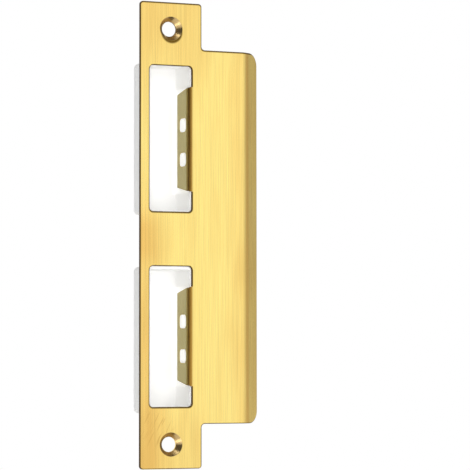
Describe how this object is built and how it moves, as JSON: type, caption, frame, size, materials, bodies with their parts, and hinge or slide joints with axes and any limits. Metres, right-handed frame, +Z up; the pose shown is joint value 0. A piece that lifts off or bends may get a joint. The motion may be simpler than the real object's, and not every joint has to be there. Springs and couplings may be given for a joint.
{
  "type": "door strike plate",
  "caption": "Brass door strike plate with a bent lip, latch and bolt openings with tabs, countersunk screw holes and white dust boxes.",
  "frame": {"origin": "on the plate's back face, midway between the two screw holes", "axes": "+X towards the lip, +Y back into the door frame, +Z up along the plate"},
  "size_m": [0.0477, 0.0164, 0.1696],
  "materials": {
    "brass": "fine brushed",
    "white_plastic": "matt"
  },
  "bodies": {
    "root": {"strike_plate": "brass", "latch_dust_box": "white_plastic", "bolt_dust_box": "white_plastic"}
  },
  "joints": []
}
